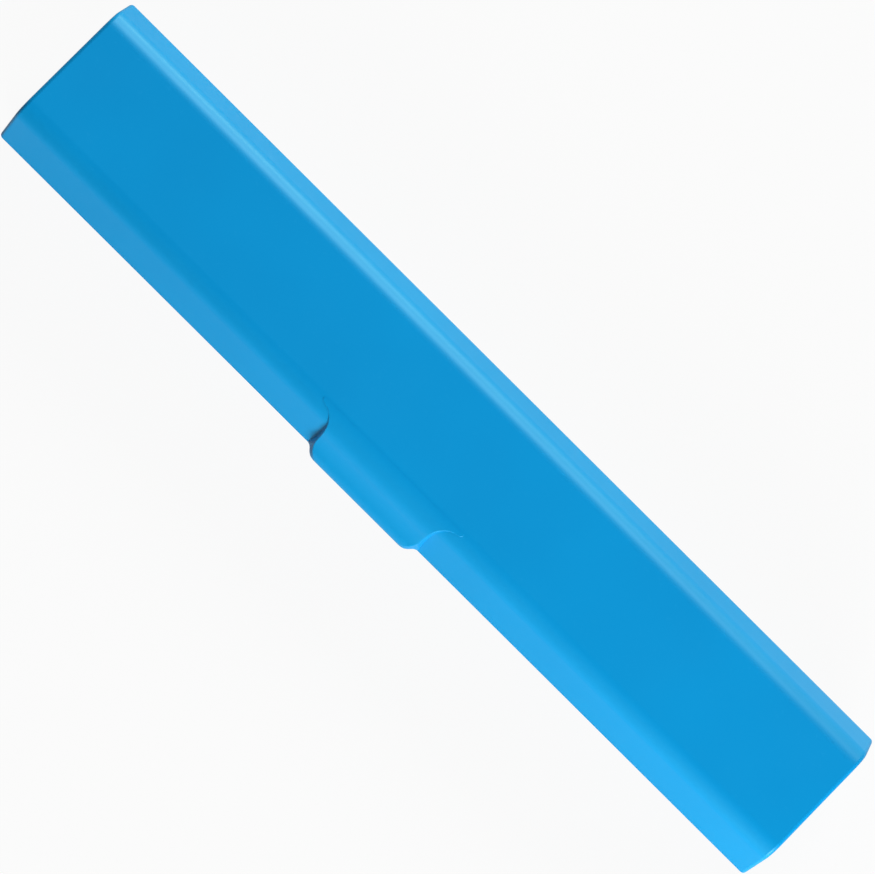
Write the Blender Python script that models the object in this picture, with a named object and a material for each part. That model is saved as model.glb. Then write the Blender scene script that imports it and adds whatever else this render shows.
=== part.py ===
"""Travel case for a slim toothbrush: two moulded shells on a two-barrel pin hinge along the back edge.

Metres, +Z up. X runs along the case, the lift tab faces -Y, and the case stands on its underside at Z = 0.
Outlines are drawn as (y, z) about the case's middle line and its parting line, and are placed at the end.
"""

from collections import namedtuple
import math

import bmesh
import bpy

# Outside of the closed case
case_length = 0.2160
body_width = 0.0385
lid_rise = 0.0140
base_depth = 0.0180
lid_flat_width = 0.0217
base_flat_width = 0.0240
lid_shoulder_radius = 0.0050
base_heel_radius = 0.0050
end_round = 0.0009

# Walls, and the clearances that the pieces keep
wall = 0.0018
seam_gap = 0.0003
fit_gap = 0.0003
overrun = 0.0010

# Inside edge at the two closed ends of each shell
cavity_round = 0.0012

# Lift tab on the lid, set a little off the middle of the case
tab_centre_x = -0.0027
tab_half_width = 0.0149
tab_reach = 0.0021
tab_crown_share = 0.81
tab_sweep_radius = 0.0122
tab_nose_radius = 0.0040
tab_nose_rise = 0.0019
tab_nose_end_deg = 86.0
tab_corner_round = 0.0032
tab_flare_radius = 0.0052
tab_flare_end = 0.00135
tab_root_round = 0.0012
tab_draft_deg = 4.0
crown_start_deg = 8.0

# Tongue round the base's rim, inside the lid's edge
tongue_rise = 0.0016
tongue_thickness = 0.0010
rim_depth = 0.0026

# Hinge: the barrel lies in a V groove along the back
hinge_place_shares = (-0.29, 0.29)
knuckle_radius = 0.0019
knuckle_set_in = 0.0001
lid_knuckle_length = 0.0092
base_knuckle_length = 0.0070
knuckle_gap = 0.0004
knuckle_web = 0.0030
groove_deg = 52.5
pin_radius = 0.0007
pin_recess = 0.0003
bore_end_wall = 0.0012

# Catch: a beaded plate on the base's tongue and a hook inside the tab
catch_width = 0.0120
catch_thickness = 0.0012
catch_rise = 0.0046
bead_reach = 0.0006
bead_height = 0.0010
catch_clearance = 0.0004
hook_thickness = 0.0016

# Soft cradles for the handle and the neck, between pairs of ribs on the base's floor. The handle's
# stop a step below the hinge's webs, and the neck's stops a drop below the handle's axis.
handle_radius = 0.0110
neck_radius = 0.0046
cradle_floor = 0.0026
cradle_step = 0.0006
handle_cradle_thickness = 0.0080
neck_cradle_thickness = 0.0060
handle_cradle_shares = (-0.385, -0.04)
neck_cradle_share = 0.2
neck_cradle_drop = 0.0013
rib_thickness = 0.0010
floor_rib_height = 0.0030
floor_rib_half_width = 0.0080

# Soft pads under the lid's top, each in a low collar
pad_shares = (-0.385, -0.04)
pad_length = 0.0140
pad_half_width = 0.0070
pad_thickness = 0.0022
collar_height = 0.0012

# Drain slots through the floor at the brush head's end
slot_count = 5
slot_width = 0.0016
slot_half_length = 0.0050
slot_pitch = 0.0042
slot_place_share = 0.375

# Fineness of the round stretches
arc_steps = 8
end_steps = 3
ring_steps = 24
bend_steps = 7

# Base colours, linear, and roughness
case_blue = (0.0, 0.27, 0.62, 1.0)
steel_grey = (0.60, 0.61, 0.62, 1.0)
soft_grey = (0.52, 0.56, 0.60, 1.0)
case_roughness = 0.38
steel_roughness = 0.30
soft_roughness = 0.75

Shell = namedtuple("Shell", "rise half_flat radius side")

half_length = case_length / 2
half_width = body_width / 2
lid = Shell(lid_rise, lid_flat_width / 2, lid_shoulder_radius, 1)
base = Shell(base_depth, base_flat_width / 2, base_heel_radius, -1)
tab_crown_radius = tab_crown_share * (half_width - lid.half_flat)
body_y = tab_reach / 2
parting_z = base_depth
hinge_y = half_width - knuckle_radius - knuckle_set_in
front_edge = 0
back_edge = (half_width - hinge_y) * math.tan(math.radians(groove_deg))
bore_radius = pin_radius + fit_gap
handle_axis = base_depth - wall - fit_gap - cradle_floor - handle_radius
handle_cradle_drop = knuckle_web + cradle_step


# Shell sections

def lean_of(shell, edge):
    """Angle from upright of the wall between its widest line, at height edge, and the shoulder's arc."""
    across = half_width - shell.half_flat
    up = shell.rise - shell.radius - edge
    return math.atan2(across, up) - math.asin(shell.radius / math.hypot(across, up))


def wall_face_y(shell, inset, height, edge):
    """How far out the wall's face is at a height: upright up to its widest line, then leaning inwards."""
    lean = lean_of(shell, edge)
    return half_width - inset / math.cos(lean) - max(height - edge, 0) * math.tan(lean)


def half_outline(shell, inset, start, edge):
    """(distance from the middle line, height) up one wall and round its shoulder."""
    lean = lean_of(shell, edge)
    arc_radius = shell.radius - inset
    side = [(wall_face_y(shell, inset, start, edge), start)]
    if start < edge:
        side.append((wall_face_y(shell, inset, edge, edge), edge))
    for step in range(arc_steps + 1):
        angle = lean + (math.pi / 2 - lean) * step / arc_steps
        y = shell.half_flat + arc_radius * math.cos(angle)
        side.append((y, shell.rise - shell.radius + arc_radius * math.sin(angle)))
    return side


def shell_outline(shell, inset, start):
    """(y, height) round a shell's section, moved in by inset: up the back, over the flat, down the front."""
    front = half_outline(shell, inset, start, front_edge)
    return half_outline(shell, inset, start, back_edge) + [(-y, height) for y, height in reversed(front)]


def shell_rings(shell, reach, inset, edge_round, start):
    """Rings (x, outline) of a shell whose end edges are rounded."""
    ends = []
    for step in range(end_steps + 1):
        turn = math.pi / 2 * step / end_steps
        x = reach - edge_round + edge_round * math.sin(turn)
        outline = shell_outline(shell, inset + edge_round * (1 - math.cos(turn)), start)
        ends.append((x, [(y, shell.side * height) for y, height in outline]))
    return [(-x, outline) for x, outline in reversed(ends)] + ends


# Mesh helpers

def mesh_object(name, bm):
    bmesh.ops.recalc_face_normals(bm, faces=bm.faces)
    mesh = bpy.data.meshes.new(name)
    bm.to_mesh(mesh)
    bm.free()
    obj = bpy.data.objects.new(name, mesh)
    bpy.context.scene.collection.objects.link(obj)
    return obj


def add_loft(bm, rings):
    """Closed skin through rings (x, outline) with as many points each."""
    loops = [[bm.verts.new((x, y, z)) for y, z in outline] for x, outline in rings]
    for first, second in zip(loops, loops[1:]):
        for index in range(len(first)):
            after = (index + 1) % len(first)
            bm.faces.new((first[index], first[after], second[after], second[index]))
    bm.faces.new(loops[0])
    bm.faces.new(loops[-1])


def loft(name, rings):
    bm = bmesh.new()
    add_loft(bm, rings)
    return mesh_object(name, bm)


def prisms(name, outline, spans):
    """One mesh with the (y, z) outline drawn out along X over each span."""
    bm = bmesh.new()
    for start, end in spans:
        add_loft(bm, [(start, outline), (end, outline)])
    return mesh_object(name, bm)


def box_outline(y0, y1, z0, z1):
    return [(y0, z0), (y1, z0), (y1, z1), (y0, z1)]


def frame_block(name, outer, inner, z0, z1, corner):
    """A frame from z0 to z1 with its corners cut; outer and inner are (half length, front, back)."""
    bm = bmesh.new()
    loops = []
    for (x, front, back), z in ((outer, z0), (outer, z1), (inner, z1), (inner, z0)):
        right = ((x - corner, -front), (x, corner - front), (x, back - corner), (x - corner, back))
        plan = right + tuple((-px, py) for px, py in reversed(right))
        loops.append([bm.verts.new((px, py, z)) for px, py in plan])
    for first, second in zip(loops, loops[1:] + loops[:1]):
        for index in range(len(first)):
            after = (index + 1) % len(first)
            bm.faces.new((first[index], first[after], second[after], second[index]))
    return mesh_object(name, bm)


def column_block(name, centre_x, stations):
    """A block of upright columns; a station is (y, half width and z at the top, half width and z below)."""
    bm = bmesh.new()
    loops = []
    for y, top_half, top_z, low_half, low_z in stations:
        corners = ((-top_half, top_z), (top_half, top_z), (low_half, low_z), (-low_half, low_z))
        loops.append([bm.verts.new((centre_x + x, y, z)) for x, z in corners])
    for first, second in zip(loops, loops[1:]):
        for index in range(len(first)):
            after = (index + 1) % len(first)
            bm.faces.new((first[index], first[after], second[after], second[index]))
    bm.faces.new(loops[0])
    bm.faces.new(loops[-1])
    return mesh_object(name, bm)


def combine(target, tool, operation):
    """Live Boolean on target, with the tool kept as a wire helper that travels with it."""
    modifier = target.modifiers.new(tool.name, "BOOLEAN")
    modifier.operation = operation
    modifier.solver = "EXACT"
    modifier.object = tool
    tool.hide_render = True
    tool.display_type = "WIRE"
    tool.parent = target


def join(target, tool):
    combine(target, tool, "UNION")


def cut(target, tool):
    combine(target, tool, "DIFFERENCE")


def finish(obj, colour, roughness, metallic):
    material = bpy.data.materials.new(obj.name)
    material.use_nodes = True
    shader = material.node_tree.nodes["Principled BSDF"]
    shader.inputs["Base Color"].default_value = colour
    shader.inputs["Roughness"].default_value = roughness
    shader.inputs["Metallic"].default_value = metallic
    obj.data.materials.append(material)


def place(obj, parent, offset):
    obj.parent = parent
    obj.location = offset


# Hinge

def hinge_centres():
    return [share * case_length for share in hinge_place_shares]


def lid_knuckle_spans(margin):
    half = lid_knuckle_length / 2 + margin
    return [(x - half, x + half) for x in hinge_centres()]


def base_knuckle_spans(margin):
    spans = []
    near = lid_knuckle_length / 2 + knuckle_gap
    for x in hinge_centres():
        for side in (-1, 1):
            ends = sorted((x + side * near, x + side * (near + base_knuckle_length)))
            spans.append((ends[0] - margin, ends[1] + margin))
    return spans


def knuckle_outline(shell, margin):
    """A barrel section that runs up into the shell's back wall, clear of the groove's face."""
    radius = knuckle_radius + margin
    groove = math.radians(groove_deg)
    points = []
    for step in range(ring_steps + 1):
        angle = groove - (groove + math.pi) * step / ring_steps
        points.append((hinge_y + radius * math.cos(angle), radius * math.sin(angle)))
    points.append((hinge_y - radius, knuckle_web + margin))
    points.append((wall_face_y(shell, wall / 2, knuckle_web, back_edge), knuckle_web + margin))
    return [(y, shell.side * z) for y, z in points]


def circle_outline(centre_y, centre_z, radius):
    points = []
    for step in range(ring_steps):
        angle = 2 * math.pi * step / ring_steps
        points.append((centre_y + radius * math.cos(angle), centre_z + radius * math.sin(angle)))
    return points


def groove_outline(shell):
    """The wedge taken off a shell's back edge, so that the lid can swing down behind the case."""
    depth = wall_face_y(shell, 0, 0, back_edge) - hinge_y + overrun
    rise = depth * math.tan(math.radians(groove_deg))
    points = ((hinge_y, 0), (hinge_y + depth, rise), (hinge_y + depth, -overrun), (hinge_y, -overrun))
    return [(y, shell.side * z) for y, z in points]


def bore_spans():
    reach = lid_knuckle_length / 2 + knuckle_gap + base_knuckle_length
    return [(x - reach - overrun, x + reach - bore_end_wall) for x in hinge_centres()]


def add_hinge(obj, shell, own_spans, other_shell, other_spans):
    full_length = [(-half_length - overrun, half_length + overrun)]
    cut(obj, prisms(obj.name + "_groove", groove_outline(shell), full_length))
    relief = knuckle_outline(other_shell, fit_gap)
    cut(obj, prisms(obj.name + "_relief", relief, other_spans(fit_gap)))
    join(obj, prisms(obj.name + "_knuckles", knuckle_outline(shell, 0), own_spans(0)))
    cut(obj, prisms(obj.name + "_bore", circle_outline(hinge_y, 0, bore_radius), bore_spans()))


# Lift tab

def tab_arcs():
    """Centre of the tab's sweep, y of its nose, and the angles from upright at which its arcs meet."""
    nose_y = half_width + tab_reach - tab_nose_radius * math.sin(math.radians(tab_nose_end_deg))
    across = nose_y - lid.half_flat
    drop = lid_rise - tab_crown_radius - tab_nose_rise
    span = math.hypot(across, drop)
    to_crown = tab_crown_radius + tab_sweep_radius
    to_nose = tab_nose_radius + tab_sweep_radius
    turn = math.acos((to_crown ** 2 + span ** 2 - to_nose ** 2) / (2 * to_crown * span))
    slope = math.atan2(across, -drop) - turn
    centre_y = lid.half_flat + to_crown * math.sin(slope)
    centre_z = lid_rise - tab_crown_radius + to_crown * math.cos(slope)
    tip = math.atan2(centre_y - nose_y, centre_z - tab_nose_rise)
    return centre_y, centre_z, nose_y, slope, tip


def tab_section(inset):
    """(distance from the middle line, z) down the tab: over its crown, through its sweep, round its nose."""
    begin = math.radians(crown_start_deg)
    nose_end = math.radians(tab_nose_end_deg)
    centre_y, centre_z, nose_y, slope, tip = tab_arcs()
    crown = tab_crown_radius - inset
    sweep = tab_sweep_radius + inset
    nose = tab_nose_radius - inset
    points = []
    for step in range(bend_steps):
        angle = begin + (slope - begin) * step / bend_steps
        z = lid_rise - tab_crown_radius + crown * math.cos(angle)
        points.append((lid.half_flat + crown * math.sin(angle), z))
    for step in range(bend_steps):
        angle = slope + (tip - slope) * step / bend_steps
        points.append((centre_y - sweep * math.sin(angle), centre_z - sweep * math.cos(angle)))
    for step in range(bend_steps + 1):
        angle = tip + (nose_end - tip) * step / bend_steps
        points.append((nose_y + nose * math.sin(angle), tab_nose_rise + nose * math.cos(angle)))
    return points


def tab_half_width_at(y):
    """Half the tab's width at a distance from the middle line: a flare at its root, then round corners."""
    flare_y = half_width - tab_flare_end
    corner_y = half_width + tab_reach - tab_corner_round
    if y < flare_y:
        short = min(flare_y - y, tab_flare_radius)
        return tab_half_width + tab_flare_radius - math.sqrt(tab_flare_radius ** 2 - short ** 2)
    past = min(max(y - corner_y, 0), tab_corner_round)
    return tab_half_width - tab_corner_round + math.sqrt(tab_corner_round ** 2 - past ** 2)


def tab_root_at(y):
    """How far the foot of the tab's side stands out to meet the lid's wall in a round."""
    short = min(max(half_width + tab_root_round - y, 0), tab_root_round)
    return tab_root_round - math.sqrt(tab_root_round ** 2 - short ** 2)


def tab_outside():
    """The tab's outside, curled in under its nose as far as the lid's edge."""
    draft = math.tan(math.radians(tab_draft_deg))
    nose_y = tab_arcs()[2]
    low_z = seam_gap / 2
    edge_y = nose_y + math.sqrt(tab_nose_radius ** 2 - (tab_nose_rise - low_z) ** 2)
    stations = []
    for y, z in tab_section(0):
        foot_z = low_z
        if y > edge_y:
            foot_z = tab_nose_rise - math.sqrt(tab_nose_radius ** 2 - (y - nose_y) ** 2)
        half = tab_half_width_at(y)
        stations.append((-y, half, z, half + (z - foot_z) * draft + tab_root_at(y), foot_z))
    return column_block("tab_outside", tab_centre_x, stations)


def tab_hollow():
    stations = []
    for y, z in tab_section(wall):
        half = tab_half_width_at(y) - wall
        stations.append((-y, half, z, half, -overrun))
    return column_block("tab_hollow", tab_centre_x, stations)


def tab_height_at(y):
    """z of the tab's outside at a distance from the middle line."""
    points = tab_section(0)
    for (y0, z0), (y1, z1) in zip(points, points[1:]):
        if y0 <= y <= y1:
            return z0 + (z1 - z0) * (y - y0) / (y1 - y0)
    return points[-1][1]


# Lid

def hook_outline():
    """Hook that hangs inside the tab, with a bead towards the base's catch plate."""
    plate_y = tongue_y() + bead_reach + catch_clearance + bead_reach
    back_y = plate_y + hook_thickness
    top = tab_height_at(back_y) - wall / 3
    bead_top = catch_rise - bead_height - catch_clearance - bead_height / 2
    foot = bead_top - bead_height
    points = (
        (plate_y, top),
        (plate_y, bead_top),
        (plate_y - bead_reach, bead_top - bead_height / 2),
        (plate_y, foot),
        (back_y, foot),
        (back_y, top),
    )
    return [(-y, z) for y, z in points]


def ceiling_z():
    return lid_rise - wall


def collar_block(name, x):
    outer_x = pad_length / 2 + fit_gap + rib_thickness
    outer_y = pad_half_width + fit_gap + rib_thickness
    outer = (outer_x, outer_y, outer_y)
    inner = (outer_x - rib_thickness, outer_y - rib_thickness, outer_y - rib_thickness)
    collar = frame_block(name, outer, inner, ceiling_z() - collar_height, ceiling_z() + wall / 2, fit_gap)
    collar.location.x = x
    return collar


def lid_shell():
    outside = shell_rings(lid, half_length, 0, end_round, seam_gap / 2)
    obj = loft("lid_shell", outside)
    join(obj, tab_outside())
    hollow = shell_rings(lid, half_length - wall, wall, cavity_round, -overrun)
    cut(obj, loft("lid_hollow", hollow))
    cut(obj, tab_hollow())
    add_hinge(obj, lid, lid_knuckle_spans, base, base_knuckle_spans)
    half_catch = catch_width / 2
    join(obj, prisms("hook", hook_outline(), [(tab_centre_x - half_catch, tab_centre_x + half_catch)]))
    for index, share in enumerate(pad_shares):
        join(obj, collar_block(f"collar_{index}", share * case_length))
    finish(obj, case_blue, case_roughness, 0.0)
    return obj


def lid_pad(name, share):
    """Soft pad under the lid's top, hollowed to the handle's round."""
    x = share * case_length
    top = ceiling_z() - fit_gap
    points = [(pad_half_width, top)]
    for step in range(arc_steps + 1):
        y = pad_half_width * (1 - 2 * step / arc_steps)
        drop = handle_radius - math.sqrt(handle_radius ** 2 - y ** 2)
        points.append((y, top - pad_thickness - drop))
    points.append((-pad_half_width, top))
    obj = prisms(name, points, [(x - pad_length / 2, x + pad_length / 2)])
    finish(obj, soft_grey, soft_roughness, 0.0)
    return obj


# Base

def tongue_y():
    """Outer face of the tongue's front, clear of the lid's inner face at the tongue's top."""
    return wall_face_y(lid, wall, tongue_rise, front_edge) - fit_gap


def tongue_x():
    return half_length - wall - fit_gap


def catch_outline():
    """Plate that stands up from the tongue, with a bead towards the hook."""
    face_y = tongue_y()
    back_y = face_y - catch_thickness
    bead_low = catch_rise - bead_height
    points = (
        (back_y, -rim_depth / 2),
        (face_y, -rim_depth / 2),
        (face_y, bead_low),
        (face_y + bead_reach, bead_low + bead_height / 2),
        (face_y, catch_rise),
        (back_y, catch_rise),
    )
    return [(-y, z) for y, z in points]


def cradle_places():
    handle = [(share * case_length, handle_cradle_thickness) for share in handle_cradle_shares]
    return handle + [(neck_cradle_share * case_length, neck_cradle_thickness)]


def floor_rib_spans():
    spans = []
    for x, thickness in cradle_places():
        near = thickness / 2 + fit_gap
        spans.append((x - near - rib_thickness, x - near))
        spans.append((x + near, x + near + rib_thickness))
    return spans


def slot_spans():
    middle = slot_place_share * case_length
    first = middle - slot_pitch * (slot_count - 1) / 2
    centres = [first + slot_pitch * index for index in range(slot_count)]
    return [(x - slot_width / 2, x + slot_width / 2) for x in centres]


def base_shell():
    outside = shell_rings(base, half_length, 0, end_round, seam_gap / 2)
    obj = loft("base_shell", outside)
    hollow = shell_rings(base, half_length - wall, wall, cavity_round, -overrun)
    cut(obj, loft("base_hollow", hollow))
    tongue_outer = (tongue_x(), tongue_y(), hinge_y - fit_gap)
    inner = tuple(size - tongue_thickness for size in tongue_outer)
    rim_outer = (
        half_length - wall / 2,
        wall_face_y(base, wall / 2, rim_depth, front_edge),
        wall_face_y(base, wall / 2, rim_depth, back_edge),
    )
    join(obj, frame_block("rim", rim_outer, inner, -rim_depth, -seam_gap, cavity_round))
    join(obj, frame_block("tongue", tongue_outer, inner, -rim_depth / 2, tongue_rise, cavity_round))
    add_hinge(obj, base, base_knuckle_spans, lid, lid_knuckle_spans)
    half_catch = catch_width / 2
    join(obj, prisms("catch", catch_outline(), [(tab_centre_x - half_catch, tab_centre_x + half_catch)]))
    floor_z = wall - base_depth
    rib_top = floor_z + floor_rib_height
    ribs = box_outline(-floor_rib_half_width, floor_rib_half_width, floor_z - wall / 2, rib_top)
    join(obj, prisms("floor_ribs", ribs, floor_rib_spans()))
    slots = box_outline(-slot_half_length, slot_half_length, -base_depth - overrun, floor_z + overrun)
    cut(obj, prisms("drain_slots", slots, slot_spans()))
    finish(obj, case_blue, case_roughness, 0.0)
    return obj


def cradle(name, share, thickness, radius, top_drop):
    """Soft saddle that fills the base's section up to a drop below the parting line, with a round notch."""
    x = share * case_length
    limit = tongue_y() - tongue_thickness - fit_gap
    outside = shell_outline(base, wall + fit_gap, top_drop)
    points = [(max(-limit, min(limit, y)), -depth) for y, depth in outside]
    begin = math.asin((top_drop - handle_axis) / radius)
    for step in range(ring_steps + 1):
        angle = math.pi - begin + (2 * begin - math.pi) * step / ring_steps
        points.append((radius * math.cos(angle), -handle_axis - radius * math.sin(angle)))
    obj = prisms(name, points, [(x - thickness / 2, x + thickness / 2)])
    finish(obj, soft_grey, soft_roughness, 0.0)
    return obj


def hinge_pin(name, x):
    reach = lid_knuckle_length / 2 + knuckle_gap + base_knuckle_length
    span = (x - reach + pin_recess, x + reach - bore_end_wall - pin_recess)
    obj = prisms(name, circle_outline(hinge_y, 0, pin_radius), [span])
    obj.data.shade_smooth()
    obj.data.set_sharp_from_angle(angle=math.radians(groove_deg))
    finish(obj, steel_grey, steel_roughness, 1.0)
    return obj


# The whole case

def build():
    for old in list(bpy.data.objects):
        bpy.data.objects.remove(old, do_unlink=True)
    case_frame = bpy.data.objects.new("case_frame", None)
    lid_axis = bpy.data.objects.new("lid_axis", None)
    for empty in (case_frame, lid_axis):
        bpy.context.scene.collection.objects.link(empty)
    case_frame.location = (0, body_y, parting_z)
    place(lid_axis, case_frame, (0, hinge_y, 0))

    fixed = [base_shell()]
    for name, x in zip(("hinge_pin_left", "hinge_pin_right"), hinge_centres()):
        fixed.append(hinge_pin(name, x))
    for name, share in zip(("handle_cradle_rear", "handle_cradle_front"), handle_cradle_shares):
        fixed.append(cradle(name, share, handle_cradle_thickness, handle_radius, handle_cradle_drop))
    neck_top = handle_axis + neck_cradle_drop
    fixed.append(cradle("neck_cradle", neck_cradle_share, neck_cradle_thickness, neck_radius, neck_top))
    for obj in fixed:
        place(obj, case_frame, (0, 0, 0))

    moving = [lid_shell()]
    for name, share in zip(("lid_pad_rear", "lid_pad_front"), pad_shares):
        moving.append(lid_pad(name, share))
    for obj in moving:
        place(obj, lid_axis, (0, -hinge_y, 0))


build()
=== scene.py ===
"""Looks of a toothbrush travel case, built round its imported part. Metres, +Z up, in the part's own frame."""

import math

import bmesh
import bpy
from mathutils import Matrix, Vector


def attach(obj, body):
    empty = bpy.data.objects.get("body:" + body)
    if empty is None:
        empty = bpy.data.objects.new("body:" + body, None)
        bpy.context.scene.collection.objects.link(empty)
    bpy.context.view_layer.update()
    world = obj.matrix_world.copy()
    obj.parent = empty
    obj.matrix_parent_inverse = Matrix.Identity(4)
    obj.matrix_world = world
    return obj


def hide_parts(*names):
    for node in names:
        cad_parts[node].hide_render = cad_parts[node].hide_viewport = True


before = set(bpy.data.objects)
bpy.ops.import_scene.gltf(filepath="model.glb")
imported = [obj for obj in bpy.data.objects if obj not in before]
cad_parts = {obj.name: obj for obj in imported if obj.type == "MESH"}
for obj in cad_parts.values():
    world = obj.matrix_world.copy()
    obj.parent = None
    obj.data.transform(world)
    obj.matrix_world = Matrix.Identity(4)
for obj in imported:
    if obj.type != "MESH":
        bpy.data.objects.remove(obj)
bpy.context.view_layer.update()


# Lower shell
#
# One deep tray of satin blue plastic, injection moulded. Its section is drawn out along the case, and its
# back edge is cut off slanting, so that with the lid's edge it makes the V groove in which the barrels lie.

case_length = 0.2160
half_length = case_length / 2
half_width = 0.01925
middle_y = 0.00105
seam_z = 0.0180
half_seam = 0.00015
wall = 0.0018
fit_gap = 0.0003
overrun = 0.0010
end_round = 0.0009
cavity_round = 0.0012
edge_round = 0.00035
small_round = 0.0003
weld_gap = 0.000002
groove_deg = 52.5
hinge_y = 0.01725
groove_lip = (half_width - hinge_y) * math.tan(math.radians(groove_deg))
shoulder_steps = 28
corner_steps = 4

base_rise = 0.0180
base_half_flat = 0.0120
base_heel_radius = 0.0050
base_shape = (base_rise, base_half_flat, base_heel_radius)
outside_seam = (4,)
hollow_mouth = (5,)


def lean_of(rise, half_flat, radius, widest):
    """How far a wall leans in from upright, from its widest line to the arc of its shoulder."""
    across = half_width - half_flat
    up = rise - radius - widest
    return math.atan2(across, up) - math.asin(radius / math.hypot(across, up))


def rounded(corners):
    """Points round a closed outline of corners (y, z, radius, steps), each turned with its own radius."""
    points = []
    for index, (y, z, radius, steps) in enumerate(corners):
        here = Vector((y, z))
        back = (Vector(corners[index - 1][:2]) - here).normalized()
        ahead = (Vector(corners[(index + 1) % len(corners)][:2]) - here).normalized()
        half = back.angle(ahead) / 2
        middle = here + (back + ahead).normalized() * (radius / math.sin(half))
        start = here + back * (radius / math.tan(half)) - middle
        end = here + ahead * (radius / math.tan(half)) - middle
        sweep = math.pi - 2 * half
        for step in range(steps + 1):
            share = step / steps if steps else 0.5
            near = math.sin((1 - share) * sweep) / math.sin(sweep)
            far = math.sin(share * sweep) / math.sin(sweep)
            points.append(tuple(middle + start * near + end * far))
    return points


def drawn_in(corners, depth, held=()):
    """The same corners, which run leftwards round, with every side but the held ones moved in by depth."""
    lines = []
    for index, corner in enumerate(corners):
        here = Vector(corner[:2])
        along = (Vector(corners[(index + 1) % len(corners)][:2]) - here).normalized()
        inward = Vector((-along.y, along.x))
        lines.append((here + inward * (0 if index in held else depth), along))
    moved = []
    for index, (y, z, radius, steps) in enumerate(corners):
        (one, one_way), (two, two_way) = lines[index - 1], lines[index]
        turn = one_way.cross(two_way)
        reach = (two - one).cross(two_way) / turn
        point = one + one_way * reach
        grown = radius - depth if turn > 0 else radius + depth
        moved.append((point.x, point.y, max(grown, radius / corner_steps) if radius else 0, steps))
    return moved


def joined(bm, rings):
    """Adds the faces between each ring of vertices and the next."""
    for first, second in zip(rings, rings[1:]):
        for index in range(len(first)):
            after = (index + 1) % len(first)
            bm.faces.new((first[index], first[after], second[after], second[index]))


def skin(name, loops):
    """A closed mesh through loops of points, every loop with as many, capped at both ends."""
    bm = bmesh.new()
    rings = [[bm.verts.new(point) for point in loop] for loop in loops]
    joined(bm, rings)
    bm.faces.new(rings[0])
    bm.faces.new(rings[-1])
    return clean_piece(name, bm)


def clean_piece(name, bm):
    """Turns a bmesh into an object with its doubles merged and its faces outward."""
    bmesh.ops.remove_doubles(bm, verts=bm.verts, dist=weld_gap)
    bmesh.ops.recalc_face_normals(bm, faces=bm.faces)
    mesh = bpy.data.meshes.new(name)
    bm.to_mesh(mesh)
    bm.free()
    piece = bpy.data.objects.new(name, mesh)
    bpy.context.scene.collection.objects.link(piece)
    return piece


def drawn_along(name, shape, x0, x1, radius, side=1, held=(), steps=5):
    """An outline drawn out along the case from x0 to x1, with its end edges rounded. The shape is a list of
    corners, or a function that gives them for a depth that every side is moved in by."""
    ends = []
    for step in range(steps + 1):
        turn = math.pi / 2 * step / max(steps, 1)
        depth = radius * (1 - math.cos(turn))
        outline = rounded(shape(depth) if callable(shape) else drawn_in(shape, depth, held))
        ends.append((radius * (1 - math.sin(turn)), [(y, side * z) for y, z in outline]))
    loops = [[(x0 + short, y, z) for y, z in outline] for short, outline in reversed(ends)]
    loops += [[(x1 - short, y, z) for y, z in outline] for short, outline in ends]
    return skin(name, loops)


def outside_corners(rise, half_flat, radius):
    """The outside of a shell: groove face and wall up the back, over the flat, and down the front."""
    back = lean_of(rise, half_flat, radius, groove_lip)
    front = lean_of(rise, half_flat, radius, 0)
    return [
        (hinge_y + half_seam / math.tan(math.radians(groove_deg)), half_seam, edge_round / 2, 2),
        (half_width, groove_lip, edge_round, corner_steps),
        (half_width - (rise - groove_lip) * math.tan(back), rise, radius, shoulder_steps),
        (-half_width + rise * math.tan(front), rise, radius, shoulder_steps),
        (-half_width + half_seam * math.tan(front), half_seam, edge_round, corner_steps),
    ]


def inside_corners(rise, half_flat, radius):
    """The hollow of a shell, a wall's thickness in, upright behind the groove and open at the seam."""
    back = lean_of(rise, half_flat, radius, groove_lip)
    front = lean_of(rise, half_flat, radius, 0)
    back_y = half_width - wall / math.cos(back)
    front_y = half_width - wall / math.cos(front)
    top = rise - wall
    return [
        (back_y, -overrun, edge_round, 1),
        (back_y, groove_lip, edge_round, 1),
        (back_y - (top - groove_lip) * math.tan(back), top, radius - wall, shoulder_steps),
        (-front_y + top * math.tan(front), top, radius - wall, shoulder_steps),
        (-front_y, 0, edge_round, 1),
        (-front_y, -overrun, edge_round, 1),
    ]


def worked(piece, tools):
    """Applies (tool, operation) pairs to a piece with exact Booleans, and removes the tools."""
    for tool, operation in tools:
        step = piece.modifiers.new(tool.name, "BOOLEAN")
        step.operation = operation
        step.solver = "EXACT"
        step.object = tool
    settled(piece)
    for tool, _operation in tools:
        bpy.data.objects.remove(tool, do_unlink=True)
    return piece


def settled(piece):
    """Bakes a piece's modifiers into its mesh."""
    bpy.context.view_layer.update()
    graph = bpy.context.evaluated_depsgraph_get()
    mesh = bpy.data.meshes.new_from_object(piece.evaluated_get(graph))
    piece.modifiers.clear()
    piece.data = mesh
    return piece


def dressed(piece, material, sharp_deg=32.0):
    """Moves a piece from the case's middle line and seam to its place, smooths its rounds and paints it."""
    piece.data.transform(Matrix.Translation((0, middle_y, seam_z)))
    bm = bmesh.new()
    bm.from_mesh(piece.data)
    bmesh.ops.remove_doubles(bm, verts=bm.verts, dist=weld_gap)
    bmesh.ops.dissolve_degenerate(bm, edges=bm.edges, dist=weld_gap)
    bm.to_mesh(piece.data)
    bm.free()
    piece.data.shade_smooth()
    piece.data.set_sharp_from_angle(angle=math.radians(sharp_deg))
    weigh = piece.modifiers.new("weigh", "WEIGHTED_NORMAL")
    weigh.mode = "FACE_AREA"
    weigh.weight = 100
    weigh.keep_sharp = True
    settled(piece)
    piece.data.materials.clear()
    piece.data.materials.append(material)
    return piece


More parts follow.
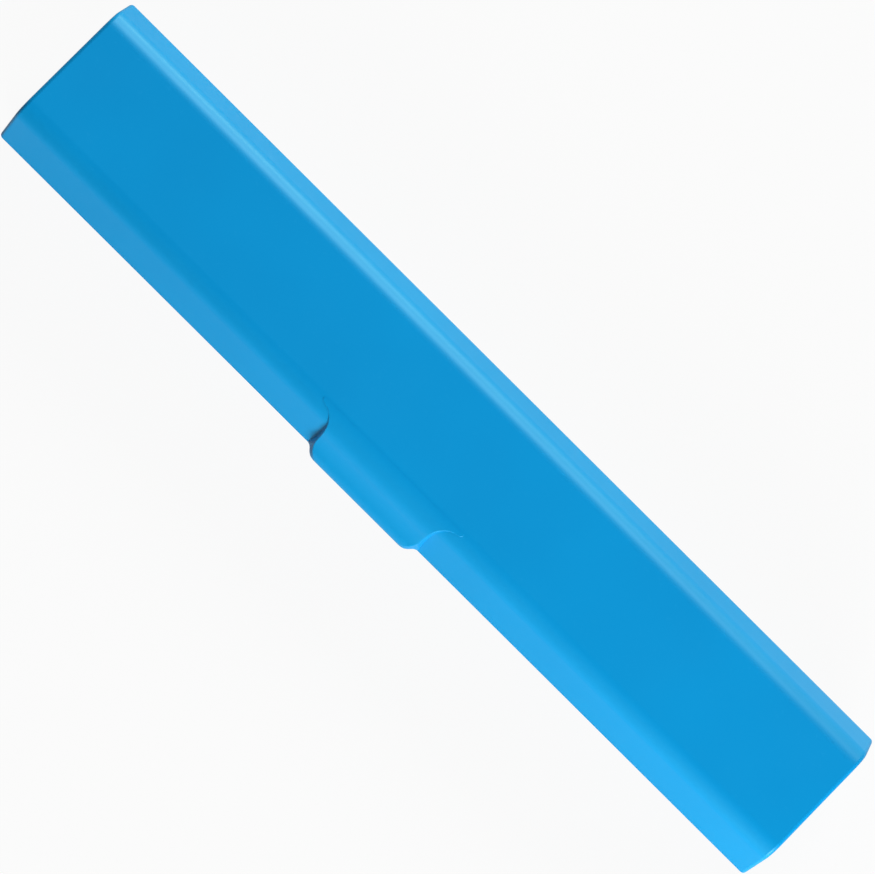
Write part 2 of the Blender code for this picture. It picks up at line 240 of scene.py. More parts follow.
def frame_ring(name, outer, inner, z0, z1, radius, corner):
    """A low frame with rounded top edges; outer and inner are (half length, front, back) of its faces."""
    plan_steps = 6
    top_steps = 4

    def plan(face, more, z):
        x, front, back = (value + more for value in face)
        places = [(x, -front), (x, back), (-x, back), (-x, -front)]
        return [(px, py, z) for px, py in rounded([(*place, corner, plan_steps) for place in places])]

    def top_edge(face, side, order):
        edge = []
        for step in order:
            turn = math.pi / 2 * step / top_steps
            short = radius * (1 - math.cos(turn))
            edge.append(plan(face, side * short, z1 - radius + radius * math.sin(turn)))
        return edge

    loops = [plan(outer, 0, z0), plan(outer, 0, z1 - radius)]
    loops += top_edge(outer, -1, range(1, top_steps))
    loops += [plan(outer, -radius, z1), plan(inner, radius, z1)]
    loops += top_edge(inner, 1, range(top_steps - 1, 0, -1))
    loops += [plan(inner, 0, z1 - radius), plan(inner, 0, z0)]
    bm = bmesh.new()
    rings = [[bm.verts.new(point) for point in loop] for loop in loops]
    joined(bm, rings + rings[:1])
    return clean_piece(name, bm)


class Socket:
    """A number in a material, so that sums on it are written as sums."""

    def __init__(self, finish, socket):
        self.finish = finish
        self.socket = socket

    def __add__(self, other):
        return self.finish.maths("ADD", self, other)

    def __sub__(self, other):
        return self.finish.maths("SUBTRACT", self, other)

    def __rsub__(self, other):
        return self.finish.maths("SUBTRACT", other, self)

    def __mul__(self, other):
        return self.finish.maths("MULTIPLY", self, other)

    __radd__ = __add__
    __rmul__ = __mul__


class Finish:
    """A material of procedural nodes on a Principled BSDF."""

    def __init__(self, name, **constants):
        self.material = bpy.data.materials.new(name)
        self.material.use_nodes = True
        self.tree = self.material.node_tree
        self.shader = self.tree.nodes["Principled BSDF"]
        self.place = Socket(self, self.tree.nodes.new("ShaderNodeTexCoord").outputs["Object"])
        for socket, value in constants.items():
            self.shader.inputs[socket.replace("_", " ")].default_value = value

    def put(self, target, value):
        if isinstance(value, Socket):
            self.tree.links.new(value.socket, target)
        else:
            target.default_value = value

    def node(self, kind, settings, inputs, output=0):
        """Adds a node with its settings, then the values or links of its sockets, and gives one output."""
        made = self.tree.nodes.new(kind)
        for key, value in settings.items():
            if key == "stops":
                made.color_ramp.elements[0].position, made.color_ramp.elements[1].position = value
            else:
                setattr(made, key, value)
        for key, value in inputs.items():
            self.put(made.inputs[key], value)
        return Socket(self, made.outputs[output])

    def maths(self, operation, first, second):
        return self.node("ShaderNodeMath", {"operation": operation}, {0: first, 1: second})

    def noise(self, size, detail=2.0, stretch=(1, 1, 1), offset=0.0):
        """Even noise with features of a size in metres, drawn out by stretch, about 0.5 in value."""
        scaled = self.node(
            "ShaderNodeMapping",
            {"vector_type": "POINT"},
            {"Vector": self.place, "Location": (offset, offset, offset), "Scale": [1 / s for s in stretch]},
        )
        inputs = {"Vector": scaled, "Scale": 1 / size, "Detail": detail}
        return self.node("ShaderNodeTexNoise", {"noise_dimensions": "3D"}, inputs)

    def ramp(self, value, low, high):
        """Turns a number into a mask that is 0 below low and 1 above high."""
        return self.node("ShaderNodeValToRGB", {"stops": (low, high)}, {"Fac": value})

    def blend(self, mask, one, two):
        settings = {"data_type": "RGBA"}
        return self.node("ShaderNodeMix", settings, {0: mask, 6: one, 7: two}, output=2)

    def bump(self, height, depth, onto=None):
        inputs = {"Height": height, "Distance": depth, "Strength": 1.0}
        if onto:
            inputs["Normal"] = onto
        return self.node("ShaderNodeBump", {}, inputs)

    def give(self, **inputs):
        for socket, value in inputs.items():
            self.put(self.shader.inputs[socket.replace("_", " ")], value)


case_blue = (0.0, 0.272, 0.625, 1.0)
case_blue_deep = (0.0, 0.258, 0.600, 1.0)
edge_blue = (0.01, 0.300, 0.650, 1.0)
sheen_tint = (0.46, 0.92, 1.0, 1.0)
tone_size = 0.028
speck_size = 0.0009
speck_strength = 0.22
grain_size = 0.00028
grain_depth = 0.0000035
wave_size = 0.016
wave_depth = 0.000030
rub_size = 0.0011
patch_size = 0.020
plain_roughness = 0.37
grain_roughness = 0.05
patch_roughness = 0.03
rub_polish = 0.05


def satin_plastic(name, offset):
    """Moulded plastic with a fine spark-eroded grain, slow tone changes and a few rubbed places."""
    finish = Finish(name, Specular_IOR_Level=0.5, IOR=1.40, Specular_Tint=sheen_tint)
    tone = finish.ramp(finish.noise(tone_size, 2.0, offset=offset), 0.30, 0.70)
    colour = finish.blend(tone, case_blue, case_blue_deep)
    speck = finish.ramp(finish.noise(speck_size, 1.0, offset=offset), 0.68, 0.78)
    colour = finish.blend(speck * speck_strength, colour, edge_blue)
    grain = finish.noise(grain_size, 2.0, offset=offset)
    wave = finish.noise(wave_size, 1.0, offset=offset)
    rubs = finish.ramp(finish.noise(rub_size, 3.0, stretch=(14, 1, 1), offset=offset), 0.60, 0.80)
    patches = finish.ramp(finish.noise(patch_size, 3.0, offset=offset), 0.45, 0.72)
    rough = plain_roughness + grain * grain_roughness + patches * patch_roughness
    rough = rough - rubs * patches * rub_polish
    normal = finish.bump(grain, grain_depth)
    normal = finish.bump(wave, wave_depth, onto=normal)
    finish.give(Base_Color=colour, Roughness=rough, Normal=normal)
    return finish.material


base_plastic = satin_plastic("base_plastic", 0.37)

base_shell = drawn_along(
    "base_shell_finished", outside_corners(*base_shape),
    -half_length, half_length, end_round, side=-1, held=outside_seam, steps=10,
)
base_tools = []

# Hollow, rim and tongue
tongue_rise = 0.0016
tongue_thickness = 0.0010
rim_depth = 0.0026
rim_back_share = 1.4
lid_rise = 0.0140
lid_half_flat = 0.01085
lid_shoulder_radius = 0.0050
lid_shape = (lid_rise, lid_half_flat, lid_shoulder_radius)
lid_lean = lean_of(*lid_shape, 0)
base_lean = lean_of(*base_shape, 0)
tongue_y = half_width - wall / math.cos(lid_lean) - tongue_rise * math.tan(lid_lean) - fit_gap
tongue_x = half_length - wall - fit_gap
tongue_outer = (tongue_x, tongue_y, hinge_y - fit_gap)
tongue_inner = tuple(size - tongue_thickness for size in tongue_outer)
rim_front = half_width - wall / 2 / math.cos(base_lean) - rim_depth * math.tan(base_lean)
rim_outer = (half_length - wall / 2, rim_front, hinge_y + rim_back_share * half_seam)

hollow = drawn_along(
    "hollow", inside_corners(*base_shape),
    wall - half_length, half_length - wall, cavity_round, side=-1, held=hollow_mouth, steps=6,
)
rim = frame_ring("rim", rim_outer, tongue_inner, -rim_depth, -2 * half_seam, small_round / 4, cavity_round)
tongue = frame_ring(
    "tongue", tongue_outer, tongue_inner, -rim_depth / 2, tongue_rise, small_round, cavity_round
)
base_tools += [(hollow, "DIFFERENCE"), (rim, "UNION"), (tongue, "UNION")]

# Barrels of the hinge: one knuckle on the lid between two on the base, at each of two places
hinge_place_share = 0.29
hinge_centres = (-hinge_place_share * case_length, hinge_place_share * case_length)
knuckle_radius = 0.0019
lid_knuckle_length = 0.0092
base_knuckle_length = 0.0070
knuckle_gap = 0.0004
knuckle_end_round = 0.00015
barrel_reach = lid_knuckle_length / 2 + knuckle_gap + base_knuckle_length
knuckle_web = 0.0030
bore_radius = 0.0010
bore_end_wall = 0.0012
ring_steps = 48


def knuckle_corners(rise, half_flat, radius, margin):
    """A barrel that runs up into the back wall, clear of the groove's face."""
    back = lean_of(rise, half_flat, radius, groove_lip)
    round_radius = knuckle_radius + margin
    groove = math.radians(groove_deg)
    wall_y = half_width - wall / 2 / math.cos(back) - (knuckle_web - groove_lip) * math.tan(back)
    corners = [(wall_y, knuckle_web + margin, 0, 0), (hinge_y - round_radius, knuckle_web + margin, 0, 0)]
    for step in range(ring_steps + 1):
        angle = -math.pi + (groove + math.pi) * step / ring_steps
        corners.append((hinge_y + round_radius * math.cos(angle), round_radius * math.sin(angle), 0, 0))
    return corners


def round_corners(radius):
    """A circle about the hinge's axis, turned half a step so that none of its points lies on the seam."""
    turns = [2 * math.pi * (step + 0.5) / ring_steps for step in range(ring_steps)]
    return [(hinge_y + radius * math.cos(turn), radius * math.sin(turn), 0, 0) for turn in turns]


def spans_of(kind, margin):
    """Where the knuckles of the lid or of the base start and end along the case."""
    spans = []
    half = lid_knuckle_length / 2
    for centre in hinge_centres:
        if kind == "lid":
            spans.append((centre - half - margin, centre + half + margin))
            continue
        near = half + knuckle_gap
        far = near + base_knuckle_length
        spans.append((centre - far - margin, centre - near + margin))
        spans.append((centre + near - margin, centre + far + margin))
    return spans


def hinge_tools(own, other, own_shape, other_shape, own_side):
    """Reliefs for the other shell's knuckles, this shell's own knuckles, and the bore through both."""
    tools = []
    for index, (x0, x1) in enumerate(spans_of(other, fit_gap)):
        corners = knuckle_corners(*other_shape, fit_gap)
        relief = drawn_along(f"relief_{index}", corners, x0, x1, 0, -own_side, steps=0)
        tools.append((relief, "DIFFERENCE"))
    for index, (x0, x1) in enumerate(spans_of(own, 0)):
        corners = knuckle_corners(*own_shape, 0)
        knuckle = drawn_along(f"knuckle_{index}", corners, x0, x1, knuckle_end_round, own_side)
        tools.append((knuckle, "UNION"))
    for index, centre in enumerate(hinge_centres):
        x0 = centre - barrel_reach - overrun
        x1 = centre + barrel_reach - bore_end_wall
        bore = drawn_along(f"bore_{index}", round_corners(bore_radius), x0, x1, 0, steps=0)
        tools.append((bore, "DIFFERENCE"))
    return tools


base_tools += hinge_tools("base", "lid", base_shape, lid_shape, -1)

# Catch plate behind the tab
tab_centre_x = -0.0027
catch_half_width = 0.0060
catch_thickness = 0.0012
catch_rise = 0.0046
bead_reach = 0.0006
bead_height = 0.0010
plate_inset = 0.00004
plate_y = tongue_y - plate_inset
catch_corners = [
    (-(plate_y - catch_thickness), -rim_depth / 2, 0, 0),
    (-(plate_y - catch_thickness), catch_rise, small_round, corner_steps),
    (-plate_y, catch_rise, small_round, corner_steps),
    (-(tongue_y + bead_reach), catch_rise - bead_height / 2, small_round, corner_steps),
    (-plate_y, catch_rise - bead_height, small_round / 2, corner_steps),
    (-plate_y, -rim_depth / 2, 0, 0),
]
catch = drawn_along(
    "catch", catch_corners, tab_centre_x - catch_half_width, tab_centre_x + catch_half_width, small_round
)
base_tools.append((catch, "UNION"))

# Pairs of ribs on the floor, which hold the soft cradles, and drain slots under the brush head
handle_cradle_thickness = 0.0080
neck_cradle_thickness = 0.0060
handle_cradle_shares = (-0.385, -0.04)
handle_cradle_xs = tuple(share * case_length for share in handle_cradle_shares)
neck_cradle_share = 0.2
neck_cradle_x = neck_cradle_share * case_length
rib_thickness = 0.0010
rib_corner_share = 0.3
floor_rib_height = 0.0030
floor_rib_half_width = 0.0080
slot_count = 5
slot_width = 0.0016
slot_half_length = 0.0050
slot_pitch = 0.0042
slot_corner_share = 0.49
slot_middle_share = 0.375
slot_middle_x = slot_middle_share * case_length
block_corner_steps = 6
block_weld_gap = 0.000001
floor_z = wall - base_rise


class Growth:
    """A Geometry Nodes tree with named inputs for its sizes, grown on an object and baked to a plain mesh."""

    def __init__(self, name, **sizes):
        self.tree = bpy.data.node_groups.new(name, "GeometryNodeTree")
        self.tree.interface.new_socket("Geometry", in_out="INPUT", socket_type="NodeSocketGeometry")
        self.tree.interface.new_socket("Geometry", in_out="OUTPUT", socket_type="NodeSocketGeometry")
        self.sizes = {}
        for size, value in sizes.items():
            kinds = {int: "NodeSocketInt", float: "NodeSocketFloat", tuple: "NodeSocketVector"}
            socket = self.tree.interface.new_socket(size, in_out="INPUT", socket_type=kinds[type(value)])
            self.sizes[size] = (socket.identifier, value)
        self.entry = self.tree.nodes.new("NodeGroupInput")
        self.exit = self.tree.nodes.new("NodeGroupOutput")

    def size(self, name):
        return self.entry.outputs[name]

    def node(self, kind, settings, inputs, output=0):
        made = self.tree.nodes.new(kind)
        for key, value in settings.items():
            setattr(made, key, value)
        for key, value in inputs.items():
            if isinstance(value, bpy.types.NodeSocket):
                self.tree.links.new(value, made.inputs[key])
            else:
                made.inputs[key].default_value = value
        return made.outputs[output]

    def grown(self, name, geometry, material, seeds=None):
        """Ends the tree in Realize Instances and Set Material, and gives the finished plain object."""
        whole = self.node("GeometryNodeRealizeInstances", {}, {"Geometry": geometry})
        inputs = {"Geometry": whole, "Material": material}
        self.tree.links.new(self.node("GeometryNodeSetMaterial", {}, inputs), self.exit.inputs[0])
        mesh = bpy.data.meshes.new(name)
        mesh.from_pydata(seeds or [], [], [])
        piece = bpy.data.objects.new(name, mesh)
        bpy.context.scene.collection.objects.link(piece)
        modifier = piece.modifiers.new(name, "NODES")
        modifier.node_group = self.tree
        for identifier, value in self.sizes.values():
            modifier[identifier] = value
        return settled(piece)


def soft_block(growth, size, radius):
    """A block of the size given, with its upright edges rounded, standing on its middle."""
    parts = growth.node("ShaderNodeSeparateXYZ", {}, {"Vector": size})
    x, y, z = parts, parts.node.outputs[1], parts.node.outputs[2]
    plan = growth.node("GeometryNodeCurvePrimitiveQuadrilateral", {}, {"Width": x, "Height": y})
    inputs = {"Curve": plan, "Radius": radius, "Count": block_corner_steps, "Limit Radius": True}
    plan = growth.node("GeometryNodeFilletCurve", {"mode": "POLY"}, inputs)
    face = growth.node("GeometryNodeFillCurve", {"mode": "NGONS"}, {"Curve": plan})
    lift = growth.node("ShaderNodeCombineXYZ", {}, {"Z": z})
    walls = growth.node("GeometryNodeExtrudeMesh", {}, {"Mesh": face, "Offset": lift, "Individual": False})
    under = growth.node("GeometryNodeFlipFaces", {}, {"Mesh": face})
    both = growth.tree.nodes.new("GeometryNodeJoinGeometry")
    growth.tree.links.new(walls, both.inputs[0])
    growth.tree.links.new(under, both.inputs[0])
    inputs = {"Geometry": both.outputs[0], "Distance": block_weld_gap}
    return growth.node("GeometryNodeMergeByDistance", {}, inputs)


ribs = Growth(
    "floor_ribs",
    rib_size=(rib_thickness, 2 * floor_rib_half_width, floor_rib_height + wall / 2),
    rib_corner=rib_thickness * rib_corner_share,
)
block = soft_block(ribs, ribs.size("rib_size"), ribs.size("rib_corner"))
rib_pairs = [(x, handle_cradle_thickness) for x in handle_cradle_xs]
rib_pairs.append((neck_cradle_x, neck_cradle_thickness))
rib_seeds = []
for x, thickness in rib_pairs:
    near = thickness / 2 + fit_gap + rib_thickness / 2
    rib_seeds += [(x - near, 0, floor_z - wall / 2), (x + near, 0, floor_z - wall / 2)]
points = ribs.node("GeometryNodeMeshToPoints", {}, {"Mesh": ribs.size("Geometry")})
placed = ribs.node("GeometryNodeInstanceOnPoints", {}, {"Points": points, "Instance": block})
base_tools.append((ribs.grown("floor_ribs", placed, base_plastic, rib_seeds), "UNION"))

slots = Growth(
    "drain_slots",
    slot_size=(slot_width, 2 * slot_half_length, wall + 2 * overrun),
    slot_corner=slot_width * slot_corner_share,
    count=slot_count,
    pitch=(slot_pitch, 0.0, 0.0),
    first=(slot_middle_x - slot_pitch * (slot_count - 1) / 2, 0.0, -base_rise - overrun),
)
block = soft_block(slots, slots.size("slot_size"), slots.size("slot_corner"))
inputs = {"Count": slots.size("count"), "Start Location": slots.size("first"), "Offset": slots.size("pitch")}
row = slots.node("GeometryNodeMeshLine", {"mode": "OFFSET"}, inputs)
placed = slots.node("GeometryNodeInstanceOnPoints", {}, {"Points": row, "Instance": block})
base_tools.append((slots.grown("drain_slots", placed, base_plastic), "DIFFERENCE"))

base_shell = dressed(worked(base_shell, base_tools), base_plastic)
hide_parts("base_shell")
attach(base_shell, "base")


# Lid
#
# The upper shell, of the same plastic, with the lift tab moulded onto its front edge. The tab runs out of the
# shoulder in one sweep to a rounded nose. Inside it hangs a hook, and two low collars hold the soft pads.

tab_half_width = 0.0149
tab_reach = 0.0021
tab_crown_share = 0.81
tab_crown_radius = tab_crown_share * (half_width - lid_half_flat)
tab_sweep_radius = 0.0122
tab_nose_radius = 0.0040
tab_nose_rise = 0.0019
tab_nose_end = math.radians(86.0)
tab_begin = math.radians(8.0)
tab_corner_round = 0.0032
tab_flare_radius = 0.0052
tab_flare_end = 0.00135
tab_root_round = 0.0008
tab_draft = math.tan(math.radians(4.0))
tab_edge_round = 0.00025
bend_steps = 24
nose_y = half_width + tab_reach - tab_nose_radius * math.sin(tab_nose_end)
crown_z = lid_rise - tab_crown_radius
to_crown = tab_crown_radius + tab_sweep_radius
to_nose = tab_nose_radius + tab_sweep_radius
crown_to_nose = math.hypot(nose_y - lid_half_flat, crown_z - tab_nose_rise)
crown_turn = math.acos((to_crown ** 2 + crown_to_nose ** 2 - to_nose ** 2) / (2 * to_crown * crown_to_nose))
tab_slope = math.atan2(nose_y - lid_half_flat, tab_nose_rise - crown_z) - crown_turn
sweep_y = lid_half_flat + to_crown * math.sin(tab_slope)
sweep_z = crown_z + to_crown * math.cos(tab_slope)
tab_tip = math.atan2(sweep_y - nose_y, sweep_z - tab_nose_rise)


def tab_profile(inset):
    """Points (distance from the middle line, z) over the tab's crown, its sweep and its rounded nose."""
    arcs = (
        (tab_begin, tab_slope, lid_half_flat, crown_z, tab_crown_radius - inset),
        (tab_slope, tab_tip, sweep_y, sweep_z, -tab_sweep_radius - inset),
        (tab_tip, tab_nose_end, nose_y, tab_nose_rise, tab_nose_radius - inset),
    )
    points = []
    for first, last, y, z, radius in arcs:
        for step in range(bend_steps):
            angle = first + (last - first) * step / bend_steps
            points.append((y + radius * math.sin(angle), z + radius * math.cos(angle)))
    nose = tab_nose_radius - inset
    points.append((nose_y + nose * math.sin(tab_nose_end), tab_nose_rise + nose * math.cos(tab_nose_end)))
    return points


def tab_half_at(y):
    """Half the tab's width at a distance from the middle line: flared at its root, round at its corners."""
    root_y = half_width - tab_flare_end
    corner_y = half_width + tab_reach - tab_corner_round
    if y < root_y:
        short = min(root_y - y, tab_flare_radius)
        return tab_half_width + tab_flare_radius - math.sqrt(tab_flare_radius ** 2 - short ** 2)
    past = min(max(y - corner_y, 0), tab_corner_round)
    return tab_half_width - tab_corner_round + math.sqrt(tab_corner_round ** 2 - past ** 2)


def column_skin(name, centre_x, stations, radius):
    """A block of stations (y, half width above, top z, half width below, low z) with rounded top edges."""
    loops = []
    for y, top_half, top_z, low_half, low_z in stations:
        corners = [
            (-top_half, top_z, radius, 5),
            (-low_half, low_z, 0, 0),
            (low_half, low_z, 0, 0),
            (top_half, top_z, radius, 5),
        ]
        loops.append([(centre_x + x, y, z) for x, z in rounded(corners)])
    return skin(name, loops)


def tab_outside():
    """The tab's outside: its sides spread at the root, and its nose curls in to the lid's edge."""
    edge_y = nose_y + math.sqrt(tab_nose_radius ** 2 - (tab_nose_rise - half_seam) ** 2)
    stations = []
    for y, z in tab_profile(0):
        foot_z = half_seam
        if y > edge_y:
            foot_z = tab_nose_rise - math.sqrt(tab_nose_radius ** 2 - (y - nose_y) ** 2)
        half = tab_half_at(y)
        short = min(max(half_width + tab_root_round - y, 0), tab_root_round)
        root = tab_root_round - math.sqrt(tab_root_round ** 2 - short ** 2)
        stations.append((-y, half, z, half + (z - foot_z) * tab_draft + root, foot_z))
    return column_skin("tab_outside", tab_centre_x, stations, tab_edge_round)


def tab_hollow():
    """The hollow under the tab, a wall's thickness in, open below."""
    stations = [(-y, tab_half_at(y) - wall, z, tab_half_at(y) - wall, -overrun) for y, z in tab_profile(wall)]
    return column_skin("tab_hollow", tab_centre_x, stations, 0)


lid_plastic = satin_plastic("lid_plastic", 0.0)
lid_shell = drawn_along(
    "lid_shell_finished", outside_corners(*lid_shape),
    -half_length, half_length, end_round, held=outside_seam, steps=10,
)
hollow = drawn_along(
    "hollow", inside_corners(*lid_shape),
    wall - half_length, half_length - wall, cavity_round, held=hollow_mouth, steps=6,
)
lid_tools = [(tab_outside(), "UNION"), (hollow, "DIFFERENCE"), (tab_hollow(), "DIFFERENCE")]
lid_tools += hinge_tools("lid", "base", lid_shape, base_shape, 1)

# Hook inside the tab, which catches behind the bead of the catch plate
hook_thickness = 0.0016
catch_clearance = 0.0004
hook_face = tongue_y + 2 * bead_reach + catch_clearance
hook_back = hook_face + hook_thickness
hook_bead = catch_rise - bead_height * 1.5 - catch_clearance
hook_foot = hook_bead - bead_height
hook_top = next(z for y, z in tab_profile(0) if y >= hook_back) - wall / 3
hook_corners = [
    (-hook_face, hook_top, 0, 0),
    (-hook_back, hook_top, 0, 0),
    (-hook_back, hook_foot, small_round, corner_steps),
    (-hook_face, hook_foot, small_round / 2, corner_steps),
    (-(hook_face - bead_reach), hook_bead - bead_height / 2, small_round, corner_steps),
    (-hook_face, hook_bead, small_round / 2, corner_steps),
]
hook = drawn_along(
    "hook", hook_corners, tab_centre_x - catch_half_width, tab_centre_x + catch_half_width, small_round
)
lid_tools.append((hook, "UNION"))

# Collars under the lid's top, which hold the soft pads
pad_half_length = 0.0070
pad_half_width = 0.0070
pad_thickness = 0.0022
collar_height = 0.0012
ceiling_z = lid_rise - wall
collar_out = pad_half_length + fit_gap + rib_thickness
for index, x in enumerate(handle_cradle_xs):
    outer = (collar_out, collar_out, collar_out)
    inner = tuple(size - rib_thickness for size in outer)
    root_z = -ceiling_z - wall / 2
    edge_z = collar_height - ceiling_z
    collar = frame_ring(f"collar_{index}", outer, inner, root_z, edge_z, small_round / 2, fit_gap)
    collar.data.transform(Matrix.Diagonal((1, 1, -1, 1)))
    collar.data.flip_normals()
    collar.data.transform(Matrix.Translation((x, 0, 0)))
    lid_tools.append((collar, "UNION"))

lid_shell = dressed(worked(lid_shell, lid_tools), lid_plastic)
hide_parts("lid_shell")
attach(lid_shell, "lid")


# Soft cradles and pads
#
# Grey moulded rubber. Three saddles stand between the floor's ribs and carry the handle and the neck, and two
# small pads in the lid press on the handle from above.

rubber_grey = (0.50, 0.54, 0.58, 1.0)
rubber_dust = (0.60, 0.63, 0.66, 1.0)
rubber = Finish("cradle_rubber", Specular_IOR_Level=0.35, Sheen_Weight=0.15, Sheen_Roughness=0.5)
grain = rubber.noise(0.00035, 3.0)
dust = rubber.ramp(rubber.noise(0.0035, 3.0), 0.45, 0.75)
rubber.give(
    Base_Color=rubber.blend(dust * 0.5, rubber_grey, rubber_dust),
    Roughness=0.66 + grain * 0.14,
    Normal=rubber.bump(grain, 0.000012),
)
rubber_sharp_deg = 40.0
cradle_floor = 0.0026
handle_radius = 0.0110
neck_radius = 0.0046
handle_axis = base_rise - wall - fit_gap - cradle_floor - handle_radius
web_clearance = 0.0006
handle_drop = knuckle_web + web_clearance
neck_below_axis = 0.0013
neck_drop = handle_axis + neck_below_axis
saddle_round = 0.0004
notch_steps = 64
heel_steps = 12


def saddle(name, node, x, thickness, radius, top):
    """A cradle that fills the tray's section up to a depth below the seam, with a round notch in its top."""
    back = lean_of(*base_shape, groove_lip)
    front = lean_of(*base_shape, 0)

    def shape(depth):
        limit = tongue_y - tongue_thickness - fit_gap - depth
        inset = wall + fit_gap + depth
        low = base_rise - inset
        back_y = half_width - inset / math.cos(back)
        front_y = half_width - inset / math.cos(front)
        heel = base_heel_radius - inset
        notch = radius + depth
        level = top + depth
        begin = math.asin((level - handle_axis) / notch)
        half = notch * math.cos(begin)
        corners = [(limit, -level, saddle_round, corner_steps), (half, -level, 0, 0)]
        for step in range(1, notch_steps):
            angle = begin + (math.pi - 2 * begin) * step / notch_steps
            corners.append((notch * math.cos(angle), -handle_axis - notch * math.sin(angle), 0, 0))
        corners += [(-half, -level, 0, 0), (-limit, -level, saddle_round, corner_steps)]
        corners.append((-limit, -(front_y - limit) / math.tan(front), 0, 0))
        corners.append((-front_y + low * math.tan(front), -low, heel, heel_steps))
        corners.append((back_y - (low - groove_lip) * math.tan(back), -low, heel, heel_steps))
        corners.append((limit, -groove_lip - (back_y - limit) / math.tan(back), 0, 0))
        return corners

    piece = drawn_along(name, shape, x - thickness / 2, x + thickness / 2, saddle_round, steps=4)
    dressed(piece, rubber.material, rubber_sharp_deg)
    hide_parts(node)
    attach(piece, "base")


handle_size = (handle_cradle_thickness, handle_radius, handle_drop)
neck_size = (neck_cradle_thickness, neck_radius, neck_drop)
saddle("handle_saddle_rear", "handle_cradle_rear", handle_cradle_xs[0], *handle_size)
saddle("handle_saddle_front", "handle_cradle_front", handle_cradle_xs[1], *handle_size)
saddle("neck_saddle", "neck_cradle", neck_cradle_x, *neck_size)


def pad_corners(depth):
    """A pad's section: flat against the lid above, and hollowed to the handle's round below."""
    half = pad_half_width - depth
    top = ceiling_z - fit_gap
    reach = handle_radius + depth
    centre = top - pad_thickness - handle_radius
    corners = [(half, top - depth, saddle_round / 2, 2), (-half, top - depth, saddle_round / 2, 2)]
    for step in range(notch_steps + 1):
        y = half * (2 * step / notch_steps - 1)
        corners.append((y, centre + math.sqrt(reach ** 2 - y ** 2), 0, 0))
    return corners


for name, node, x in zip(("pad_rear", "pad_front"), ("lid_pad_rear", "lid_pad_front"), handle_cradle_xs):
    pad = drawn_along(name, pad_corners, x - pad_half_length, x + pad_half_length, saddle_round, steps=4)
    dressed(pad, rubber.material, rubber_sharp_deg)
    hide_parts(node)
    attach(pad, "lid")


# Hinge pins
#
# Two lengths of drawn steel wire, one in each barrel, with small bevels on their ends.

steel = Finish("hinge_steel", Metallic=1.0, Anisotropic=0.4)
lines = steel.noise(0.00006, 2.0, stretch=(60, 1, 1))
steel.give(
    Base_Color=steel.blend(lines, (0.56, 0.57, 0.58, 1.0), (0.66, 0.66, 0.67, 1.0)),
    Roughness=0.24 + lines * 0.16,
    Normal=steel.bump(lines, 0.000001),
)
pin_radius = 0.0007
pin_recess = 0.0003
pin_bevel = 0.00015
steel_sharp_deg = 50.0
pin_names = (("pin_left", "hinge_pin_left"), ("pin_right", "hinge_pin_right"))
for (name, node), centre in zip(pin_names, hinge_centres):
    x0 = centre - barrel_reach + pin_recess
    x1 = centre + barrel_reach - bore_end_wall - pin_recess
    pin = drawn_along(name, round_corners(pin_radius), x0, x1, pin_bevel, steps=3)
    dressed(pin, steel.material, steel_sharp_deg)
    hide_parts(node)
    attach(pin, "base")


# Table, light and camera
#
# A white table with two soft windows behind the case, one high and one low, a key light and a low strip at
# its front right, and a dim surround. The camera looks almost straight down, and sees the case turned by 45
# degrees.

table_mesh = bpy.data.meshes.new("table")
table_half = 6.0
table_mesh.from_pydata(
    [(-table_half, -table_half, 0), (table_half, -table_half, 0), (table_half, table_half, 0),
     (-table_half, table_half, 0)], [], [(0, 1, 2, 3)],
)
table = bpy.data.objects.new("table", table_mesh)
bpy.context.scene.collection.objects.link(table)
top = Finish("table_top", Base_Color=(0.45, 0.45, 0.45, 1.0), Roughness=0.8, Specular_IOR_Level=0.1)
glow = top.node("ShaderNodeEmission", {}, {"Color": (1.0, 1.0, 1.0, 1.0), "Strength": 1.0})
path = top.tree.nodes.new("ShaderNodeLightPath")
camera_share = 0.93
mirror_share = 0.12
glossy_ray = Socket(top, path.outputs["Is Glossy Ray"])
through_ray = Socket(top, path.outputs["Is Transmission Ray"])
mirrored = top.maths("MAXIMUM", glossy_ray, through_ray)
seen = Socket(top, path.outputs["Is Camera Ray"]) * camera_share + mirrored * mirror_share
mixed = top.node("ShaderNodeMixShader", {}, {0: seen, 1: Socket(top, top.shader.outputs[0]), 2: glow})
top.tree.links.new(mixed.socket, top.tree.nodes["Material Output"].inputs["Surface"])
table_mesh.materials.append(top.material)

surround_level = 0.14
world = bpy.data.worlds.new("studio")
bpy.context.scene.world = world
world.use_nodes = True
shine = world.node_tree.nodes["Background"]
shine.inputs["Color"].default_value = (1.0, 1.0, 1.0, 1.0)
shine.inputs["Strength"].default_value = surround_level

lamp_aim_height = 0.02
plain_light = (1.0, 1.0, 1.0)
low_light = (0.86, 1.0, 0.70)


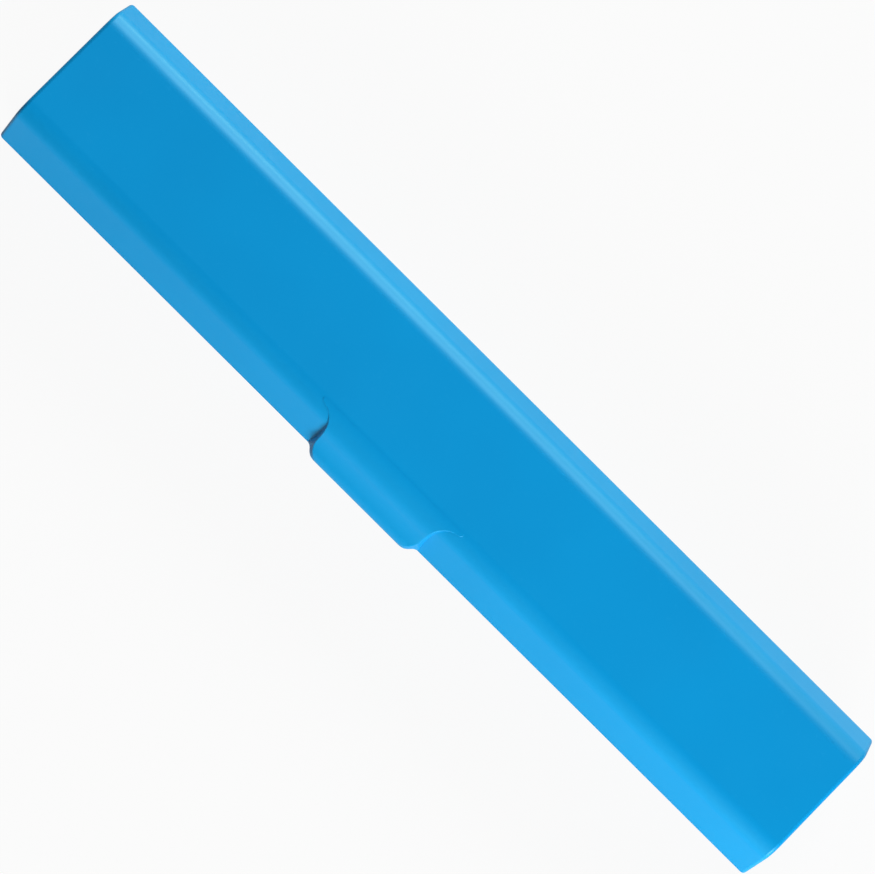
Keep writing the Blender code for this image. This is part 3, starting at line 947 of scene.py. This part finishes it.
def softbox(name, azimuth_deg, elevation_deg, distance, along, width, height, power, colour):
    """A soft light that faces the case, at an azimuth counted from +X towards +Y; along moves the lamp and
    what it faces along the case."""
    azimuth, elevation = math.radians(azimuth_deg), math.radians(elevation_deg)
    level = math.cos(elevation)
    way = Vector((level * math.cos(azimuth), level * math.sin(azimuth), math.sin(elevation)))
    light = bpy.data.lights.new(name, "AREA")
    light.shape = "RECTANGLE"
    light.size = width
    light.size_y = height
    light.energy = power
    light.color = colour
    lamp = bpy.data.objects.new(name, light)
    bpy.context.scene.collection.objects.link(lamp)
    lamp.location = Vector((along, 0, lamp_aim_height)) + way * distance
    lamp.rotation_euler = way.to_track_quat("Z", "Y").to_euler()


softbox(
    "window_behind", azimuth_deg=92.0, elevation_deg=38.0, distance=1.30, along=-0.10,
    width=0.60, height=0.45, power=13.8, colour=plain_light,
)
softbox(
    "window_sill", azimuth_deg=100.0, elevation_deg=8.0, distance=1.30, along=0.0,
    width=0.60, height=0.26, power=9.4, colour=low_light,
)
softbox(
    "key_front_right", azimuth_deg=300.0, elevation_deg=25.0, distance=0.80, along=0.38,
    width=0.50, height=0.40, power=13.4, colour=plain_light,
)
softbox(
    "strip_front_right", azimuth_deg=295.0, elevation_deg=7.0, distance=0.50, along=0.16,
    width=0.30, height=0.06, power=1.35, colour=low_light,
)

camera_distance = 1.25
camera_tilt = math.radians(7.8)
camera_yaw = math.radians(1.1)
camera_roll = math.radians(44.845)
aim_along = -0.00048
aim_across = -0.00076
aim_above_seam = 0.009
camera_target = Vector((aim_along, aim_across + middle_y, aim_above_seam + seam_z))
pixels_per_metre = 4884.0
frame_pixels = 875
sensor_mm = 36.0
toward = Vector((-math.sin(camera_yaw), -math.sin(camera_tilt), 0))
toward.z = math.sqrt(1 - toward.length_squared)
along_case = (Vector((1, 0, 0)) - toward * toward.x).normalized()
across_case = toward.cross(along_case)
right = along_case * math.cos(camera_roll) + across_case * math.sin(camera_roll)
up = across_case * math.cos(camera_roll) - along_case * math.sin(camera_roll)
view = bpy.data.cameras.new("camera")
view.sensor_width = sensor_mm
view.lens = sensor_mm * camera_distance * pixels_per_metre / frame_pixels
view.clip_start = 0.01
view.clip_end = 50
camera = bpy.data.objects.new("camera", view)
bpy.context.scene.collection.objects.link(camera)
turned = Matrix((right, up, toward)).transposed().to_4x4()
camera.matrix_world = Matrix.Translation(camera_target + toward * camera_distance) @ turned
bpy.context.scene.camera = camera
bpy.context.scene.view_settings.view_transform = "Standard"
